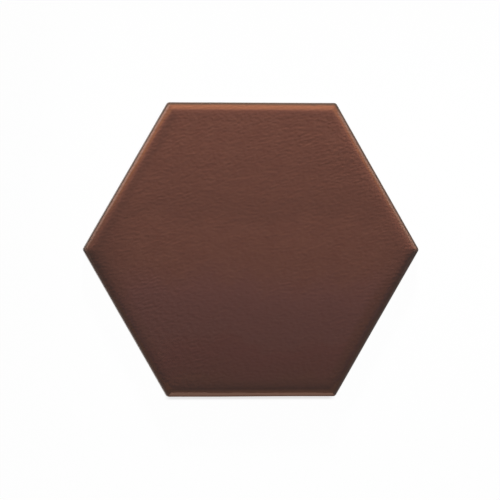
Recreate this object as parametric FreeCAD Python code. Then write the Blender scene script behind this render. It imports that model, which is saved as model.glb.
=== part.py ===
import FreeCAD
import Part
import math
import os

# A hexagonal floor tile, dry-pressed from clay, glazed on its face and fired as one piece.
# The back lies on the floor at Z = 0 and the glazed face looks up. Two corners point along X
# and two sides run along X, so the tile is widest along X. Lengths are millimetres, angles degrees.

# Outline, seen from above
across_flats = 175.0  # between opposite sides, at the widest part of the upright edge
corner_radius = 2.0  # the six upright corners

# Height
thickness = 9.0  # from the back's ribs to the middle of the face

# Face: all but flat in the middle, bending down more and more towards a small rounded arris
arris_radius = 1.3  # between the face and the land
edge_lean = 25.0  # how far the face leans outwards at its rim
edge_reach = 4.6  # how far in from the rim it leans half as much
edge_fall = 4.0  # how fast the lean dies away from there inwards
shoulder_width = 13.0  # the band along the rim where most of the bend lies
shoulder_stations = 11  # outlines that the band is lofted through
field_stations = 7  # and the field inside it
face_middle_width = 24.0  # the flat middle, between its opposite sides
face_middle_side = 1.4  # the straight stretch of each of its sides, so that it is all but round

# Upright edge below the rounding: a vertical land, then a taper down to a bevelled foot
land_height = 3.2
taper_inset = 0.6  # how far the taper draws in below the land
foot_bevel = 0.8  # the 45 degree bevel round the back

# Back: a honeycomb of shallow pockets that the adhesive keys into
pocket_pitch = 14.0  # between the middles of two pockets
rib_width = 2.0  # between two pockets, at the back's surface
pocket_depth = 0.8
pocket_draft = 25.0  # how far a pocket's walls lean out of upright
back_margin = 6.0  # least plain border between the pockets and the bevel

HEXAGON_SIDES = 6
SIDE_ANGLE = 360.0 / HEXAGON_SIDES
HALF_SIDE_ANGLE = math.radians(SIDE_ANGLE / 2)
FACE_SLICE = 0.25  # width of the slices that the face's height is summed up in

apothem = across_flats / 2  # middle of the tile to the land
face_middle_apothem = face_middle_width / 2
face_middle_radius = face_middle_apothem - face_middle_side / 2 / math.tan(HALF_SIDE_ANGLE)
arris_lean = math.radians(edge_lean)
back_apothem = apothem - taper_inset - foot_bevel


def polar(radius, degrees, height):
    """A point at a distance and an angle from the tile's upright axis."""
    angle = math.radians(degrees)
    return FreeCAD.Vector(radius * math.cos(angle), radius * math.sin(angle), height)


def rounded_hexagon(flat_distance, radius, height):
    """The tile's outline at one height: six sides, and an arc of one radius at each corner."""
    arc_centre = (flat_distance - radius) / math.cos(HALF_SIDE_ANGLE)
    edges = []
    for side in range(HEXAGON_SIDES):
        corner = side * SIDE_ANGLE
        next_corner = corner + SIDE_ANGLE
        centre = polar(arc_centre, corner, height)
        next_centre = polar(arc_centre, next_corner, height)
        before = polar(radius, corner - SIDE_ANGLE / 2, 0)
        middle = polar(radius, corner, 0)
        after = polar(radius, corner + SIDE_ANGLE / 2, 0)
        edges.append(Part.Arc(centre + before, centre + middle, centre + after).toShape())
        edges.append(Part.LineSegment(centre + after, next_centre + after).toShape())
    return Part.Wire(edges)


def foot():
    """The bevel round the back and the taper above it, up to the land."""
    bevel_end = apothem - taper_inset
    outlines = [
        rounded_hexagon(back_apothem, corner_radius, 0),
        rounded_hexagon(bevel_end, corner_radius, foot_bevel),
        rounded_hexagon(apothem, corner_radius, land_bottom),
    ]
    return Part.makeLoft(outlines, True, True)


def land():
    """The vertical band that the grout joint is measured from, up to the face."""
    outline = rounded_hexagon(apothem, corner_radius, land_bottom)
    return Part.Face(outline).extrude(FreeCAD.Vector(0, 0, land_rim - land_bottom))


def face_radius(inset):
    """A face outline's corner radius, which grows from the land to the flat middle."""
    share = inset / (apothem - face_middle_apothem)
    return corner_radius + (face_middle_radius - corner_radius) * share


def face_height(inset):
    """How high the face lies, summed up in thin slices from the flat middle outwards."""
    reach = apothem - face_middle_apothem
    slices = math.ceil((reach - inset) / FACE_SLICE)
    width = (reach - inset) / max(slices, 1)
    height = thickness
    for slice_number in range(slices):
        middle = reach - (slice_number + 0.5) * width
        height -= width * math.tan(arris_lean / (1 + (middle / edge_reach) ** edge_fall))
    return height


def face_outline(inset):
    """The outline that the face has at one inset from the land."""
    return rounded_hexagon(apothem - inset, face_radius(inset), face_height(inset))


def shoulder():
    """The band along the rim, smooth through evenly spaced outlines."""
    steps = shoulder_stations - 1
    outlines = [face_outline(shoulder_width * station / steps) for station in range(shoulder_stations)]
    return Part.makeLoft(outlines, True, False)


def field():
    """The face inside that band, all but flat, through outlines that lie wider apart inwards."""
    reach = apothem - face_middle_apothem
    steps = field_stations - 1
    outlines = [face_outline(shoulder_width * (reach / shoulder_width) ** (station / steps))
                for station in range(field_stations)]
    return Part.makeLoft(outlines, True, True)


def round_arris(blank):
    """Rounds the edge between the face and the land."""
    rim = [edge for edge in blank.Edges
           if all(abs(vertex.Point.z - land_rim) < 1e-4 for vertex in edge.Vertexes)]
    return blank.makeFillet(arris_radius, rim)


def hexagon(flat_distance, height):
    """Corners of a sharp hexagon, turned to interlock with its neighbours in the honeycomb."""
    radius = flat_distance / math.cos(HALF_SIDE_ANGLE)
    return [polar(radius, SIDE_ANGLE * (corner + 0.5), height) for corner in range(HEXAGON_SIDES)]


def flat_face(corners):
    """A plane face inside the closed polygon through these corners."""
    return Part.Face(Part.makePolygon(corners + corners[:1]))


def pocket():
    """One pocket at the middle of the back: a flat floor and six leaning walls."""
    lean = math.tan(math.radians(pocket_draft))
    mouth = (pocket_pitch - rib_width) / 2
    lower = hexagon(mouth + pocket_depth * lean, -pocket_depth)  # clear of the back, so it cuts cleanly
    upper = hexagon(mouth - pocket_depth * lean, pocket_depth)
    faces = [flat_face(lower), flat_face(upper)]
    for corner in range(HEXAGON_SIDES):
        other = (corner + 1) % HEXAGON_SIDES
        faces.append(flat_face([lower[corner], lower[other], upper[other], upper[corner]]))
    return Part.Solid(Part.Shell(faces))


def honeycomb():
    """Rings of pockets round the middle one, as many as leave the border free."""
    row_distance = pocket_pitch * math.cos(HALF_SIDE_ANGLE)
    pocket_tip = (pocket_pitch - rib_width) / 2 / math.cos(HALF_SIDE_ANGLE)
    rings = int((back_apothem - back_margin - pocket_tip) // row_distance)
    cutter = pocket()
    pockets = []
    for row in range(-rings, rings + 1):
        in_row = 2 * rings + 1 - abs(row)
        for place in range(in_row):
            x = (place - (in_row - 1) / 2) * pocket_pitch
            pockets.append(cutter.translated(FreeCAD.Vector(x, row * row_distance, 0)))
    return pockets


def tile():
    """The whole tile, one solid."""
    blank = round_arris(foot().multiFuse([land(), shoulder(), field()]).removeSplitter())
    return blank.cut(Part.makeCompound(honeycomb()))


land_rim = face_height(0)  # where the face and the land would meet in a sharp edge
land_top = land_rim - arris_radius * math.tan((math.pi / 2 - arris_lean) / 2)
land_bottom = land_top - land_height

os.makedirs("parts", exist_ok=True)
shape = tile()
shape.exportStep("parts/hexagon_tile.step")
box = shape.BoundBox
print("solids", len(shape.Solids), "valid", shape.isValid(), "volume", round(shape.Volume, 1))
print("size", [round(length, 3) for length in (box.XLength, box.YLength, box.ZLength)])
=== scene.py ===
import math

import bmesh
import bpy
from mathutils import Euler, Matrix, Vector, noise


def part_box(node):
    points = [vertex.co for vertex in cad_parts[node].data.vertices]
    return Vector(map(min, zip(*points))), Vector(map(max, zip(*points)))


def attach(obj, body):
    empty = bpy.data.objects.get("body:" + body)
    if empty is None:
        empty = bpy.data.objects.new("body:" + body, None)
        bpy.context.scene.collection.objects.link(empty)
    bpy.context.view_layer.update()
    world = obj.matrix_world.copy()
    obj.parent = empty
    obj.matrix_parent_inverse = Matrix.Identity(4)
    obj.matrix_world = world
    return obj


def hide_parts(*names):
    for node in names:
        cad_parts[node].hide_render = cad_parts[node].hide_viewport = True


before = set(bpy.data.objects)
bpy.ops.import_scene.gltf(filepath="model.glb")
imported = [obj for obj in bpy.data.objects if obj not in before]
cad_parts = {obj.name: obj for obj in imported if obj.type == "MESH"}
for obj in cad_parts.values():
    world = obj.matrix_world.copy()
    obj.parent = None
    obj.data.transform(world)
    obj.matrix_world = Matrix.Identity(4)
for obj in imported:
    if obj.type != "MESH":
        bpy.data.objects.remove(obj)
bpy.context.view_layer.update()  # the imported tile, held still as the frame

mm = 0.001
tiny = 1e-7  # far below every size here
sides = 6
sideAngle = 2 * math.pi / sides
halfAngle = sideAngle / 2

tileName = "hexagon_tile"
tileLow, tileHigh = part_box(tileName)
apothem = tileHigh.y  # from the middle to the land, the tile's widest band
thickness = tileHigh.z


def pointing(angle):
    return Vector((math.cos(angle), math.sin(angle)))


sideNormals = [pointing(sideAngle * (side + 0.5)) for side in range(sides)]


def addObject(name, data):
    thing = bpy.data.objects.new(name, data)
    bpy.context.scene.collection.objects.link(thing)
    return thing


# The tile's section, from the middle of the face to the rim of the back

section = {
    "edgeLean": math.radians(25),  # how far the face leans outwards at its rim
    "edgeReach": 4.6 * mm,  # how far in from the rim it leans half as much
    "edgeFall": 4.0,  # how fast the lean dies away from there inwards
    "faceRings": 92,
    "shoulderStart": 12 * mm,  # how far in the rings begin to lie closer
    "shoulderRings": 26,
    "arrisRadius": 1.3 * mm,
    "arrisRings": 9,
    "landHeight": 3.2 * mm,
    "landRings": 6,
    "taperInset": 0.6 * mm,
    "taperRings": 4,
    "footBevel": 0.8 * mm,
    "footRings": 3,
    "cornerRadius": 2.0 * mm,
    "cornerSoftening": 0.1164,  # what an outline's corner radius gains for each millimetre inwards
    "roundest": 0.9,  # the most that a corner radius takes of its outline's apothem
    "cornerCrowding": 0.3,  # draws the points of a ring towards its corners
    "creaseAngle": math.radians(30),  # steeper edges stay sharp in the shading
}

unevenness = {
    "faceSwell": 0.05 * mm,  # slow swells of the fired face
    "faceSwellSize": 28 * mm,
    "edgeWander": 0.10 * mm,  # how far the sides leave a straight line
    "edgeWanderSize": 45 * mm,
    "wanderReach": 9 * mm,  # how far in the wander is felt
    "swellSlice": 5.1 * mm,  # heights at which the noise is read
    "wanderSlice": 0.37 * mm,
    "rightDrop": 0.09,  # share by which the face bends down further at the right than in the middle
}


def leanAt(inset):
    return section["edgeLean"] / (1 + (inset / section["edgeReach"]) ** section["edgeFall"])


def sectionRings():
    # inset from the land, height, and way from the arris: inwards above nought, down the side below
    s = section
    rings = [(apothem, thickness, apothem)]
    outerLean = s["edgeLean"]
    arrisStart = s["arrisRadius"] * (1 - math.sin(outerLean))
    stretches = (
        (apothem, s["shoulderStart"], s["faceRings"]),
        (s["shoulderStart"], arrisStart, s["shoulderRings"]),
    )
    for first, last, count in stretches:
        for ring in range(count):
            inset = first + (last - first) * (ring + 1) / count
            step = rings[-1][0] - inset
            height = rings[-1][1] - step * math.tan(leanAt(inset + step / 2))
            rings.append((inset, height, inset))
    landTop = rings[-1][1] - s["arrisRadius"] * math.cos(outerLean)  # where the upright land begins
    landBottom = landTop - s["landHeight"]
    for ring in range(1, s["arrisRings"] + 1):
        turn = outerLean + (math.pi / 2 - outerLean) * ring / s["arrisRings"]
        inset = s["arrisRadius"] * (1 - math.sin(turn))
        rings.append((inset, landTop + s["arrisRadius"] * math.cos(turn), inset))
    for ring in range(1, s["landRings"] + 1):
        height = landTop - s["landHeight"] * ring / s["landRings"]
        rings.append((0, height, height - landTop))
    for ring in range(1, s["taperRings"] + 1):
        share = ring / s["taperRings"]
        height = landBottom + (s["footBevel"] - landBottom) * share
        rings.append((s["taperInset"] * share, height, height - landTop))
    for ring in range(1, s["footRings"] + 1):
        share = ring / s["footRings"]
        height = s["footBevel"] * (1 - share)
        rings.append((s["taperInset"] + s["footBevel"] * share, height, height - landTop))
    return rings, landTop


def sharpSpot(spot, reach):
    # where a point of the flat sheet lies on a sharp outline of that apothem,
    # drawn a little towards the corners
    side = round((math.atan2(spot.y, spot.x) - halfAngle) / sideAngle) * sideAngle + halfAngle
    outward = pointing(side)
    along = Vector((-outward.y, outward.x))
    halfSide = math.tan(halfAngle)
    share = spot.dot(along) / max(spot.dot(outward), tiny) / halfSide
    crowding = section["cornerCrowding"]
    share *= 1 + crowding - crowding * share * share
    return (outward + along * share * halfSide) * reach


def onOutline(spot, reach, radius):
    # pulls a point of a sharp outline onto the arc at its corner
    corner = round(math.atan2(spot.y, spot.x) / sideAngle) * sideAngle
    direction = pointing(corner)
    centre = direction * (reach - radius) / math.cos(halfAngle)
    arm = spot - centre
    if arm.length > 0 and arm.normalized().dot(direction) > math.cos(halfAngle):
        return centre + arm.normalized() * radius
    return spot


def foldSheet(sheet, rings):
    # one flat sheet of rings, folded over the section
    along = sheet.verts.layers.float.new("fromArris")
    last = len(rings) - 1
    for vert in sheet.verts:
        flat = vert.co.xy
        ring = min(last, round(max(flat.dot(normal) for normal in sideNormals) * last))
        inset, height, fromArris = rings[ring]
        reach = apothem - inset
        radius = section["cornerRadius"] + section["cornerSoftening"] * inset
        radius = min(radius, section["roundest"] * reach)
        spot = onOutline(sharpSpot(flat, reach), reach, radius) if ring else Vector((0, 0))
        vert.co = (spot.x, spot.y, height)
        vert[along] = fromArris / mm


def noiseAt(place, height, size):
    return noise.noise(Vector((place.x, place.y, height)) / size)


def makeUneven(sheet, landTop):
    u = unevenness
    foot = section["footBevel"]
    for vert in sheet.verts:
        place = vert.co.copy()
        inset = apothem - max(place.xy.dot(normal) for normal in sideNormals)
        near = max(0.0, 1 - inset / u["wanderReach"])
        outward = Vector((place.x, place.y, 0)).normalized()
        wander = noiseAt(place, u["wanderSlice"], u["edgeWanderSize"]) * u["edgeWander"] * near
        swell = noiseAt(place, u["swellSlice"], u["faceSwellSize"]) * u["faceSwell"]
        lift = min(1.0, max(0.0, place.z - foot) / (landTop - foot))  # nought below, all above the land
        drop = min(thickness - place.z, thickness - landTop) * u["rightDrop"] * outward.x
        vert.co = place + outward * wander + Vector((0, 0, (swell - drop) * lift))


# Back: a honeycomb of shallow pockets, the same as in the solid

back = {
    "pocketPitch": 14 * mm,
    "ribWidth": 2 * mm,
    "pocketDepth": 0.8 * mm,
    "pocketDraft": math.radians(25),
    "borderMargin": 6 * mm,
    "ribRounding": 0.25 * mm,
    "ribSegments": 2,
    "weldDistance": 0.01 * mm,
}


def addCells(sheet):
    # rings of touching hexagons, as many as leave the border free
    pitch = back["pocketPitch"]
    cellRadius = pitch / 2 / math.cos(halfAngle)
    backApothem = apothem - section["taperInset"] - section["footBevel"]
    rowDistance = pitch * math.cos(halfAngle)
    pocketTip = (pitch - back["ribWidth"]) / 2 / math.cos(halfAngle)
    ringCount = int((backApothem - back["borderMargin"] - pocketTip) // rowDistance)
    for row in range(-ringCount, ringCount + 1):
        inRow = 2 * ringCount + 1 - abs(row)
        for place in range(inRow):
            at = Vector(((place - (inRow - 1) / 2) * pitch, row * rowDistance, 0))
            bmesh.ops.create_circle(sheet, cap_ends=True, segments=sides, radius=cellRadius,
                                    matrix=Matrix.Translation(at))
    bmesh.ops.remove_doubles(sheet, verts=sheet.verts, dist=back["weldDistance"])


def liesFlat(part):
    return all(abs(vert.co.z) < tiny for vert in part.verts)


def makeBack(tile):
    sheet = bmesh.new()
    addCells(sheet)
    cells = list(sheet.faces)
    bmesh.ops.inset_individual(sheet, faces=cells, thickness=back["ribWidth"] / 2)
    wallRun = back["pocketDepth"] * math.tan(back["pocketDraft"])
    bmesh.ops.inset_individual(sheet, faces=cells, thickness=wallRun, depth=0)
    for face in cells:
        for vert in face.verts:
            vert.co.z = back["pocketDepth"]
    mouths = [edge for edge in sheet.edges if edge.is_manifold and liesFlat(edge)
              and not all(liesFlat(face) for face in edge.link_faces)]
    bmesh.ops.bevel(sheet, geom=mouths, offset=back["ribRounding"], affect="EDGES",
                    segments=back["ribSegments"], profile=0.5, material=-1)
    print("back", len(cells), "pockets")
    scratch = bpy.data.meshes.new("backScratch")
    sheet.to_mesh(scratch)
    sheet.free()
    tile.from_mesh(scratch)
    bpy.data.meshes.remove(scratch)
    rims = [edge for edge in tile.edges if edge.is_boundary]
    bmesh.ops.triangle_fill(tile, edges=rims, use_beauty=True, normal=(0, 0, -1))  # the plain border


def makeTile():
    rings, landTop = sectionRings()
    tile = bmesh.new()
    turned = Matrix.Rotation(math.pi / 2, 4, "Z")  # two corners along X
    bmesh.ops.create_circle(tile, cap_ends=True, cap_tris=True, segments=sides,
                            radius=1 / math.cos(halfAngle), matrix=turned)
    bmesh.ops.subdivide_edges(tile, edges=tile.edges, cuts=len(rings) - 2, use_grid_fill=True)
    foldSheet(tile, rings)
    print("face and sides", len(tile.faces), "faces")
    makeBack(tile)
    makeUneven(tile, landTop)
    along = tile.verts.layers.float["fromArris"]
    for vert in tile.verts:
        if vert.co.z < section["footBevel"] and vert[along] == 0:
            vert[along] = -thickness / mm  # the pockets' own points, further down than any side
    bmesh.ops.recalc_face_normals(tile, faces=tile.faces)
    mesh = bpy.data.meshes.new(tileName + "_glazed")
    tile.to_mesh(mesh)
    openEdges = sum(1 for edge in tile.edges if not edge.is_manifold)
    tile.free()
    mesh.shade_smooth()
    mesh.set_sharp_from_angle(angle=section["creaseAngle"])
    mesh.calc_loop_triangles()
    print("tile", len(mesh.loop_triangles), "triangles,", openEdges, "open edges")
    piece = addObject(tileName + "_glazed", mesh)
    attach(piece, "root")
    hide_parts(tileName)
    return piece


# Shader sums: a wire is an output socket, and arithmetic on wires adds Math nodes

class Wire:
    def __init__(self, tree, socket=None):
        self.tree = tree
        self.socket = socket

    def node(self, kind, settings=None, inputs=None, output=0):
        made = self.tree.nodes.new("ShaderNode" + kind)
        for name, value in (settings or {}).items():
            setattr(made, name, value)
        for name, value in (inputs or {}).items():
            if isinstance(value, Wire):
                self.tree.links.new(value.socket, made.inputs[name])
            else:
                made.inputs[name].default_value = value
        return Wire(self.tree, made.outputs[output] if made.outputs else None)

    def maths(self, operation, *values):
        return self.node("Math", {"operation": operation}, dict(enumerate(values)))

    def __add__(self, other):
        return self.maths("ADD", self, other)

    def __radd__(self, other):
        return self.maths("ADD", other, self)

    def __sub__(self, other):
        return self.maths("SUBTRACT", self, other)

    def __rsub__(self, other):
        return self.maths("SUBTRACT", other, self)

    def __mul__(self, other):
        return self.maths("MULTIPLY", self, other)

    def __rmul__(self, other):
        return self.maths("MULTIPLY", other, self)

    def __abs__(self):
        return self.maths("ABSOLUTE", self)

    def orMore(self, other):  # the larger of the two
        return self.maths("MAXIMUM", self, other)

    def between(self, low, high):  # a smooth step from 0 at low to 1 at high
        return self.node("MapRange", {"interpolation_type": "SMOOTHSTEP"},
                         {"Value": self, "From Min": low, "From Max": high})

    def blend(self, first, second):  # this wire is the share of the second colour
        return self.node("Mix", {"data_type": "RGBA"}, {0: self, 6: first, 7: second}, 2)


def emptied(owner):  # a material's or world's own nodes, cleared away
    owner.use_nodes = True
    owner.node_tree.nodes.clear()
    return Wire(owner.node_tree)


def placeOf(start):  # Object coordinates, and the way along X and along Y in mm
    place = start.node("TexCoord", output="Object")
    alongX = start.node("SeparateXYZ", {}, {"Vector": place}, 0) * (1 / mm)
    alongY = start.node("SeparateXYZ", {}, {"Vector": place}, 1) * (1 / mm)
    return place, alongX, alongY


def cloud(place, size, detail=2.0, roughness=0.5, stretch=1.0, turn=0.0):
    spread = place.node("Mapping", {"vector_type": "TEXTURE"}, {
        "Vector": place, "Rotation": (0, 0, turn), "Scale": (size * stretch, size, size)})
    return place.node("TexNoise", {"noise_dimensions": "3D"},
                      {"Vector": spread, "Scale": 1.0, "Detail": detail, "Roughness": roughness}, "Fac")


def srgb(red, green, blue):
    def linear(value):
        value /= 255
        return value / 12.92 if value <= 0.04045 else ((value + 0.055) / 1.055) ** 2.4
    return (linear(red), linear(green), linear(blue), 1)


# Glaze over clay: the colours, in linear light, and the texture

finish = {
    "glaze": (0.1025, 0.0350, 0.0220, 1),
    "glazeLight": (0.112, 0.0400, 0.0255, 1),  # in the mottle
    "glazePooledAndShade": (0.0877, 0.0302, 0.0190, 1),  # darker: glaze pooled behind the edge, with painted shade in that ring and at the corners; also in soft bands
    "glazePooledShadeLeft": (0.0795, 0.0276, 0.0175, 1),  # pooled, with more painted shade, along the back left side
    "glazeCool": (0.1045, 0.0379, 0.0309, 1),  # fired a little cooler, in front of the middle
    "glazeDusky": (0.1070, 0.0315, 0.0268, 1),  # fired a little redder, nearer the front
    "glazeBreaking": (0.126, 0.0460, 0.0248, 1),  # thin towards the arris
    "glazeBreakingLitBack": (0.126, 0.0425, 0.0160, 1),  # thin, on the back half: the same thin glaze as a painted lit copy, more saturated
    "glazeTipsShade": (0.100, 0.0370, 0.0220, 1),  # painted shade near the left and right corners
    "glazeLighterAndHighlight": (0.148, 0.0545, 0.0280, 1),  # lighter, along the front and back sides, and a painted highlight along the back arris
    "glazeRimSheen": (0.148, 0.0750, 0.0515, 1),  # paler and greyer where it is thinnest: a painted sheen
    "glazeRimSheenLeft": (0.195, 0.1030, 0.0760, 1),  # a stronger painted sheen, along the back left side
    "glazeRimBack": (0.092, 0.0400, 0.0225, 1),  # with hardly any painted sheen, along the back side
    "glazeLine": (0.045, 0.0270, 0.0180, 1),  # dark at the very edge of the back half
    "glazeEdge": (0.225, 0.1500, 0.1220, 1),  # pale at the very edge of the front half
    "clayPaintedLit": (0.430, 0.232, 0.166, 1),  # bare along the front arris, with painted light: far lighter than the clay
    "clayShaded": srgb(116, 83, 69),  # bare on the land below the front arris
    "clay": srgb(118, 87, 74),
    "clayDark": srgb(97, 69, 57),
    "clayMottleSize": 3 * mm,
    "clayMottleRange": (0.35, 0.7),  # of the noise, from clay to dark clay
    "mottleSize": 9 * mm,
    "mottleRange": (0.3, 0.7),  # of the noise, from glaze to light glaze
    "wanderSize": 6 * mm,  # of the noise that the edges of the tones follow
    "driftSize": 22 * mm,  # of the slower noise that the bands follow
    "glazeRoughness": 0.30,
    "roughnessSpread": 0.06,
    "roughnessSize": 5 * mm,
    "gloss": 0.28,
    "refraction": 1.5,
    "clayRoughness": 0.88,
    "rippleSize": 1.38 * mm,
    "rippleStretch": 1.65,
    "rippleTurn": math.radians(15),
    "rippleHeight": 0.155 * mm,
    "rippleStart": 0.95,  # share of that height in the front half
    "rippleGain": 0.25,  # what it gains towards the back
    "fineSize": 0.45,  # the finest ripples, against the others in size
    "fineShare": 0.12,  # and in height
    "clayGrain": 0.5 * mm,
    "clayGrainHeight": 0.06 * mm,
}

# Where the tones lie, in mm: each is absent at the first value of a pair and full at the second

tones = {
    "toLeft": (10, -45),  # along X
    "toRight": (45, 60),
    "tips": (66, 95),  # along X, either way from the middle
    "leftSides": (1, -1),  # along X, from the lines that join the middle and the nearest corners
    "nearLeftSides": (8, -8),
    "nearRightSides": (-8, 8),
    "upper": (-30, 15),  # along Y
    "backSide": (81, 84),
    "frontSide": (-83.0, -84.5),
    "highAlong": (25, 80),
    "lineAlong": (-6, 2),
    "ripplesRise": (15, 60),
    "flowAlong": (77, 81),  # along Y, either way from the middle
    "frontEnds": (-0.5, 0.8),  # along X, inwards from those lines
    "ringInside": (15, 7.5),  # inwards from the arris
    "ringOutside": (3.4, 5.2),
    "flowInside": (5.0, 3.2),
    "flowOutside": (1.5, 2.2),
    "paleEdge": (1.35, 0.5),
    "paintedLit": (0.3, 1.0),
    "shaded": (0.95, 0.3),

    # inwards from the rim, negative down the side; each mask moves its tone outwards and down
    "breaking": {"limits": (3.9, 2.5), "wander": 0.9, "drift": 0.7},
    # a painted highlight just inside the arris, on the back half that faces the lamp
    "high": {"limits": (4.2, 3.2), "wander": 0.5, "upperLeft": 0.3},
    "rim": {"limits": (2.2, 1.3), "wander": 0.5, "upper": -0.6, "upperLeft": 0.2, "backSide": 0.65},
    "line": {"limits": (1.15, 0.7), "wander": 0.3, "upperLeft": -0.1, "toRight": -0.25, "backSide": -0.15},
    "bare": {"limits": (-0.75, -1.15), "wander": 0.8, "drift": 0.5, "leftSides": 1.18, "strip": -1},
    "leftOverlap": 0.42,  # how much further out they all lie along the left sides
    "flowWander": 0.5,

    # bands across the face: where each begins, is full, fades and ends along Y
    "coolBand": (-3, -38, -48, -70),
    "duskyBand": (-50, -62, -72, -80),
    "pooledBands": [  # each with the share of the darker glaze in it; the last two darken the whole front part
        ((66, 50, 24, 12), 0.38),
        ((37, 30, 23, 16), 0.25),
        ((-22, -38, -120, -130), 0.35),
        ((-48, -72, -120, -130), 0.35),
    ],
    "bandDrift": 30,  # how far they wander

    # The pooled ring is partly painted shade: it is wider in the front half, away from the lamp, and
    # differs from side to side.
    "ringNarrowing": 3,  # how much narrower the pooled ring is in the back half
    "ringRegain": 1.5,  # what it regains of that along the back left side
    "ringLossRight": 0.8,  # the share of it that is missing along the back right side
    "ringLossLeft": 0.35,  # and along the front left side
    # share of painted shade near the left and right corners
    "tipsShade": 0.6,
    "highShare": 0.8,
    "lineShare": 0.95,
    "lineLossRight": 0.1,
    "stripHeight": 3.2,  # of the bare strip along the front side, in its middle; the strip is partly bare clay and partly painted light
    "stripSlant": 0.005,  # what it loses for each millimetre to the right
}


def tileMasks(place, alongX, alongY, fromArris):
    # a mask is 1 where its tone, or its part of the tile, lies and 0 elsewhere
    # wander and drift swing about nought, and strip is a height
    fromMiddleX = abs(alongX)
    fromMiddleY = abs(alongY)
    cornerLine = fromMiddleY * math.tan(halfAngle)  # how far out in X the line to the nearest corner lies
    masks = {
        "wander": cloud(place, finish["wanderSize"], detail=3.0) - 0.5,
        "drift": cloud(place, finish["driftSize"]) - 0.5,
    }

    def within(name, along):
        return along.between(*tones[name])

    upper = within("upper", alongY)
    leftSides = within("leftSides", alongX + cornerLine)
    nearLeftSides = within("nearLeftSides", alongX + cornerLine)
    front = within("frontSide", alongY) * within("frontEnds", cornerLine - fromMiddleX)
    masks["toLeft"] = within("toLeft", alongX)
    masks["toRight"] = within("toRight", alongX)
    masks["tips"] = within("tips", fromMiddleX)
    masks["ripples"] = within("ripplesRise", alongY)
    masks["upper"] = upper
    masks["leftSides"] = leftSides
    masks["upperLeft"] = leftSides * upper
    masks["towardsLeft"] = nearLeftSides * upper
    masks["backSide"] = within("backSide", alongY) * (1 - leftSides)
    # the bare strip along the front side, where the clay carries painted light
    masks["strip"] = front * (tones["stripHeight"] - alongX * tones["stripSlant"])
    masks["paintedLit"] = front * within("paintedLit", fromArris)
    masks["shaded"] = front * within("shaded", fromArris)

    fromRim = fromArris + leftSides * tones["leftOverlap"]

    def edgeTone(name):
        tone = dict(tones[name])
        low, high = tone.pop("limits")
        at = fromRim
        for part, shift in tone.items():
            at = at + masks[part] * shift
        return at.between(low, high)

    lineShare = tones["lineShare"] - masks["toRight"] * tones["lineLossRight"]
    flow = within("flowAlong", fromMiddleY) * within("flowInside", fromArris)
    masks["breaking"] = edgeTone("breaking")
    # painted highlight along the back arris
    masks["high"] = within("highAlong", alongY) * edgeTone("high") * tones["highShare"]
    masks["flow"] = flow * within("flowOutside", fromArris + masks["wander"] * tones["flowWander"])
    masks["rim"] = edgeTone("rim")
    masks["line"] = edgeTone("line") * within("lineAlong", alongY) * lineShare
    masks["paleEdge"] = (1 - upper) * (1 - front) * within("paleEdge", fromRim)
    masks["bare"] = edgeTone("bare")

    # the pooled ring, partly painted shade, and painted shade at the left and right corners
    narrowing = upper * tones["ringNarrowing"] - masks["upperLeft"] * tones["ringRegain"]
    ring = within("ringInside", fromArris + narrowing) * within("ringOutside", fromRim)
    lossRight = within("nearRightSides", alongX - cornerLine) * upper * tones["ringLossRight"]
    lossLeft = nearLeftSides * (1 - upper) * tones["ringLossLeft"]
    masks["ring"] = ring
    masks["pooled"] = (ring * (1 - lossRight - lossLeft)).orMore(masks["tips"] * tones["tipsShade"])
    return masks


def glazeColour(place, alongY, masks):
    f = finish
    across = alongY + masks["drift"] * tones["bandDrift"]

    def band(begins, full, fades, ends):
        return across.between(begins, full) * across.between(ends, fades)

    mottle = cloud(place, f["mottleSize"], detail=4.0, roughness=0.6).between(*f["mottleRange"])
    glaze = mottle.blend(f["glaze"], f["glazeLight"])
    glaze = band(*tones["coolBand"]).blend(glaze, f["glazeCool"])
    glaze = band(*tones["duskyBand"]).blend(glaze, f["glazeDusky"])
    # pooled glaze with painted shade in it, and the darker bands across the face
    pooled = masks["pooled"].orMore(sum(band(*ends) * share for ends, share in tones["pooledBands"]))
    leftRing = masks["ring"] * masks["towardsLeft"]
    glaze = pooled.blend(glaze, leftRing.blend(f["glazePooledAndShade"], f["glazePooledShadeLeft"]))
    # the back half's thin glaze is a painted lit copy
    breaking = masks["upper"].blend(f["glazeBreaking"], f["glazeBreakingLitBack"])
    # thin glaze towards the arris, with painted shade in it near the left and right corners
    glaze = masks["breaking"].blend(glaze, masks["tips"].blend(breaking, f["glazeTipsShade"]))
    # painted highlight along the back arris, then the lighter band along the front and back sides
    glaze = masks["high"].blend(glaze, f["glazeLighterAndHighlight"])
    glaze = masks["flow"].blend(glaze, f["glazeLighterAndHighlight"])
    # painted sheen at the rim, stronger along the back left side and weak along the back side
    rimSheen = (masks["toLeft"] * masks["upper"]).blend(f["glazeRimSheen"], f["glazeRimSheenLeft"])
    glaze = masks["rim"].blend(glaze, masks["backSide"].blend(rimSheen, f["glazeRimBack"]))
    glaze = masks["paleEdge"].blend(glaze, f["glazeEdge"])
    return masks["line"].blend(glaze, f["glazeLine"])


def clayColour(place, masks):
    f = finish
    speckle = cloud(place, f["clayMottleSize"], detail=5.0, roughness=0.7).between(*f["clayMottleRange"])
    clay = speckle.blend(f["clay"], f["clayDark"])
    # painted light on the bare clay along the front arris
    clay = masks["paintedLit"].blend(clay, f["clayPaintedLit"])
    return masks["shaded"].blend(clay, f["clayShaded"])


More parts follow.
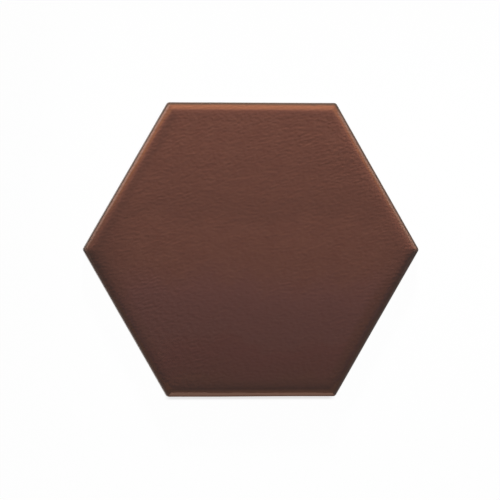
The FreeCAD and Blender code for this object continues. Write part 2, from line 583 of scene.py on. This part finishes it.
def glazedClay():
    f = finish
    material = bpy.data.materials.new("glazeOverClay")
    start = emptied(material)
    place, alongX, alongY = placeOf(start)
    fromArris = start.node("Attribute", {"attribute_name": "fromArris"}, output="Fac")
    masks = tileMasks(place, alongX, alongY, fromArris)
    bare = masks["bare"]
    colour = bare.blend(glazeColour(place, alongY, masks), clayColour(place, masks))

    ripple = cloud(place, f["rippleSize"], detail=0.0, stretch=f["rippleStretch"], turn=f["rippleTurn"])
    fine = cloud(place, f["rippleSize"] * f["fineSize"], detail=1.0)
    grain = cloud(place, f["clayGrain"], detail=3.0, roughness=0.6)
    ripples = (ripple + fine * f["fineShare"]) * (1 - bare)
    ripples = ripples * (masks["ripples"] * f["rippleGain"] + f["rippleStart"])
    bumped = start.node("Bump", {}, {"Strength": 1.0, "Distance": f["rippleHeight"], "Height": ripples})
    bumped = start.node("Bump", {}, {"Strength": 1.0, "Distance": f["clayGrainHeight"],
                                     "Height": grain * bare, "Normal": bumped})
    uneven = cloud(place, f["roughnessSize"], detail=3.0) - 0.5
    roughness = uneven * f["roughnessSpread"] + f["glazeRoughness"]
    roughness = roughness + bare * (f["clayRoughness"] - f["glazeRoughness"])
    shader = start.node("BsdfPrincipled", {}, {
        "Base Color": colour, "Roughness": roughness, "Normal": bumped,
        "IOR": f["refraction"], "Specular IOR Level": f["gloss"]})
    start.node("OutputMaterial", {}, {"Surface": shader})
    return material


# Studio: floor, lamps, camera

studio = {
    "floorSize": 30.0,
    "floorDrop": 0.08 * mm,  # below the ribs of the back
    "floorColour": 0.9,
    "floorWhite": 0.985,  # how plainly white the camera sees the floor, the rest being light and shadow
    "contactShade": 0.24,  # the share of light and shadow that is added close to the front side
    "contactAlong": (52, 47),  # in mm along X, either way: where it ends and where it is full
    "contactBefore": (-90.2, -88.5),  # in mm along Y, in front of the tile
    "contactUnder": (-60, -80),  # in mm along Y, under the tile
    "passing": (1.56 * mm, 1.3 * mm),  # the floor lets rays as short as these through, to light the back
    "roomLight": 0.0,  # how much the white room lights the tile, apart from what its gloss shows
}

lamps = {
    "rake": {"place": (0.045, 0.6, 0.157), "aim": (0.045, 0.022, 0), "size": (0.32, 0.055),
             "power": 0.277, "spread": 11},
    "front": {"place": (-0.07, -0.6, 0.036), "aim": (0, 0, 0.007), "size": (0.6, 0.04),
              "power": 0.46, "spread": 70},
    "under": {"place": (0.1, -0.15, -0.5), "aim": (0, 0, 0), "size": (0.5, 0.5),
              "power": 4.7, "spread": 180},  # for the back alone: the floor keeps it from the rest
}


def seenShare(start):  # 1 for the rays that show a surface itself, 0 for the ones that light others
    camera = start.node("LightPath", output="Is Camera Ray")
    mirrored = start.node("LightPath", output="Is Glossy Ray")
    through = start.node("LightPath", output="Is Transmission Ray")
    return camera + mirrored + through


def floorPaper():
    material = bpy.data.materials.new("paleFloor")
    start = emptied(material)
    level = studio["floorColour"]
    lit = start.node("BsdfDiffuse", {}, {"Color": (level, level, level, 1)})
    white = start.node("Emission", {}, {"Color": (1, 1, 1, 1), "Strength": 1.0})
    place, alongX, alongY = placeOf(start)
    contact = alongY.between(*studio["contactBefore"]) * alongY.between(*studio["contactUnder"])
    contact = contact * abs(alongX).between(*studio["contactAlong"])
    whiteShare = seenShare(start) * (studio["floorWhite"] - contact * studio["contactShade"])
    paper = start.node("MixShader", {}, {0: whiteShare, 1: lit, 2: white})
    below = start.node("NewGeometry", output="Backfacing")
    rayLength = start.node("LightPath", output="Ray Length")
    short = rayLength.between(*studio["passing"])
    clear = start.node("BsdfTransparent")
    shader = start.node("MixShader", {}, {0: below.orMore(short), 1: paper, 2: clear})
    start.node("OutputMaterial", {}, {"Surface": shader})
    return material


def makeFloor():
    mesh = bpy.data.meshes.new("floor")
    sheet = bmesh.new()
    bmesh.ops.create_grid(sheet, x_segments=1, y_segments=1, size=studio["floorSize"] / 2)
    bmesh.ops.translate(sheet, verts=sheet.verts, vec=(0, 0, -studio["floorDrop"]))
    sheet.to_mesh(mesh)
    sheet.free()
    mesh.materials.append(floorPaper())
    floor = addObject("floor", mesh)


def makeLamp(name, lamp):
    light = bpy.data.lights.new(name, "AREA")
    light.shape = "RECTANGLE"
    light.size, light.size_y = lamp["size"]
    light.energy = lamp["power"]
    light.spread = math.radians(lamp["spread"])
    thing = addObject(name, light)
    place = Vector(lamp["place"])
    thing.location = place
    thing.rotation_euler = (Vector(lamp["aim"]) - place).to_track_quat("-Z", "Y").to_euler()
    thing.visible_camera = False
    thing.visible_glossy = False  # the glaze mirrors the white room alone


def makeWorld():
    world = bpy.data.worlds.new("studio")
    start = emptied(world)
    soft = start.node("Background", {}, {"Color": (1, 1, 1, 1), "Strength": studio["roomLight"]})
    white = start.node("Background", {}, {"Color": (1, 1, 1, 1), "Strength": 1.0})
    room = start.node("MixShader", {}, {0: seenShare(start), 1: soft, 2: white})
    start.node("OutputWorld", {}, {"Surface": room})
    world.cycles.sampling_method = "NONE"
    bpy.context.scene.world = world


view = {
    "turn": (-1.0, -8.0, 0.16),  # degrees about X, Y and Z, out of straight down
    "distance": 3.0,
    "tilePixels": 338.3,  # the tile's width in the picture, if seen from straight above
    "framePixels": 500,
    "aim": (-0.91 * mm, -0.25 * mm, 5 * mm),
    "farEnd": 100,
}


def makeCamera():
    camera = bpy.data.cameras.new("camera")
    width = (tileHigh.x - tileLow.x) * view["framePixels"] / view["tilePixels"]
    camera.lens = camera.sensor_width * view["distance"] / width
    camera.clip_end = view["farEnd"]
    thing = addObject("camera", camera)
    turn = Euler([math.radians(angle) for angle in view["turn"]])
    thing.location = Vector(view["aim"]) + turn.to_matrix() @ Vector((0, 0, view["distance"]))
    thing.rotation_euler = turn
    bpy.context.scene.camera = thing


tile = makeTile()
tile.data.materials.append(glazedClay())
print("materials made")
makeFloor()
makeWorld()
for lampName, lamp in lamps.items():
    makeLamp(lampName, lamp)
makeCamera()
bpy.context.scene.view_settings.view_transform = "Standard"
print("studio made")
